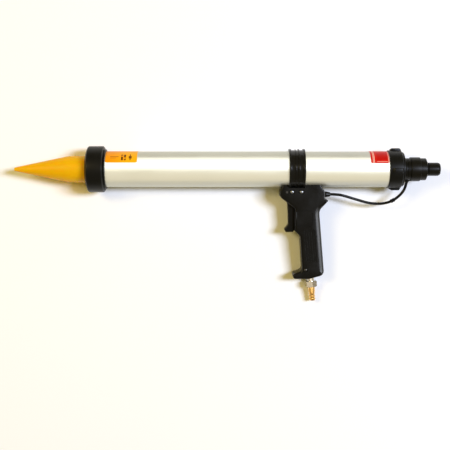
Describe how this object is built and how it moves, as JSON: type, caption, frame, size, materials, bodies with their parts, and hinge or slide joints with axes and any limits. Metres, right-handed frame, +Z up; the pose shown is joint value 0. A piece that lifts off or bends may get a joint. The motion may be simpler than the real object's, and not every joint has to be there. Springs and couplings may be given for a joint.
{
  "type": "air-powered caulking gun",
  "caption": "Air-powered caulking gun with a closed barrel for foil packs, a clamped pistol grip, a screw-on nozzle ring and a rear pressure regulator.",
  "frame": {"origin": "on the floor, below the middle of the gun's length and width, without the hose", "axes": "+X along the barrel to the rear, -Y towards the foot of the grip, +Z up as the gun lies on its side"},
  "size_m": [0.6082, 0.223, 0.066],
  "materials": {
    "aluminium": "satin anodised",
    "black_plastic": "moulded, satin",
    "black_gloss": "moulded, polished",
    "amber_plastic": "translucent",
    "black_rubber": "matt",
    "zinc_steel": "zinc plated",
    "spring_steel": "bright drawn wire",
    "nickel": "nickel plated",
    "brass": "turned",
    "white_plastic": "moulded",
    "yellow_label": "printed, satin",
    "red_label": "printed, satin"
  },
  "bodies": {
    "gun": {"barrel_tube": "aluminium", "barrel_collar": "black_plastic", "rear_cap": "black_plastic", "rear_cap_seal": "black_rubber", "clamp_band": "black_plastic", "clamp_screws": "zinc_steel", "clamp_nuts": "zinc_steel", "handle_left": "black_plastic", "handle_right": "black_plastic", "grip_screw": "zinc_steel", "trigger_pin": "zinc_steel", "valve_body": "brass", "valve_plug": "aluminium", "valve_spring": "spring_steel", "inlet_adapter": "nickel", "inlet_nipple": "brass", "feed_pipe": "white_plastic", "delivery_pipe": "white_plastic", "hose_fitting": "black_plastic", "air_hose": "black_rubber", "hose_sleeve": "black_rubber", "hose_port": "black_plastic", "regulator_body": "black_gloss", "regulator_valve_spring": "spring_steel", "regulator_spring_stop": "brass", "regulator_diaphragm": "black_rubber", "regulator_bonnet": "black_gloss", "regulator_clamp_ring": "black_gloss", "regulator_spring": "spring_steel", "front_label": "yellow_label", "rear_label": "red_label"},
    "trigger": {"trigger": "black_plastic"},
    "valve_stem": {"valve_stem": "spring_steel", "valve_washer": "black_rubber"},
    "piston": {"piston": "white_plastic", "piston_seal": "black_rubber"},
    "nozzle": {"nozzle": "amber_plastic"},
    "front_ring": {"front_ring": "black_plastic"},
    "regulator_knob": {"regulator_knob": "black_gloss"},
    "regulator_spring_seat": {"regulator_spring_seat": "brass"},
    "regulator_valve": {"regulator_valve": "brass"}
  },
  "joints": [
    {"name": "trigger_pull", "type": "hinge", "parent": "gun", "child": "trigger", "pos_m": [0.08515, 0.04691, 0.02911], "axis": [0, -0.1222, 0.9925], "range_deg": [0, 8], "stiffness_Nm_per_rad": 2, "springref_deg": -5.73},
    {"name": "valve_stem_travel", "type": "slide", "parent": "gun", "child": "valve_stem", "axis": [1, 0, 0], "range_m": [0, 0.00553], "deforming": ["valve_spring"]},
    {"name": "piston_travel", "type": "slide", "parent": "gun", "child": "piston", "axis": [-1, 0, 0], "range_m": [0, 0.399]},
    {"name": "nozzle_release", "type": "slide", "parent": "gun", "child": "nozzle", "axis": [-1, 0, 0], "range_m": [0, 0.0161]},
    {"name": "ring_turn", "type": "hinge", "parent": "nozzle", "child": "front_ring", "pos_m": [-0.19185, 0.07847, 0.033], "axis": [-1, 0, 0], "range_deg": [0, 1440]},
    {"name": "regulator_turn", "type": "hinge", "parent": "gun", "child": "regulator_knob", "pos_m": [0.28715, 0.07847, 0.033], "axis": [-1, 0, 0], "range_deg": [0, 720]},
    {"name": "spring_seat_travel", "type": "slide", "parent": "gun", "child": "regulator_spring_seat", "axis": [-1, 0, 0], "range_m": [0, 0.0031], "deforming": ["regulator_spring"]},
    {"name": "regulator_valve_lift", "type": "slide", "parent": "gun", "child": "regulator_valve", "axis": [-1, 0, 0], "range_m": [0, 0.001], "stiffness_N_per_m": 1500, "springref_m": -0.001, "deforming": ["regulator_valve_spring"]}
  ],
  "couplings": [
    {"joint": "valve_stem_travel", "follows": "trigger_pull", "m_per_rad": 0.0389},
    {"joint": "nozzle_release", "follows": "ring_turn", "m_per_rad": 0.00063662},
    {"joint": "spring_seat_travel", "follows": "regulator_turn", "m_per_rad": 0.00023873}
  ]
}
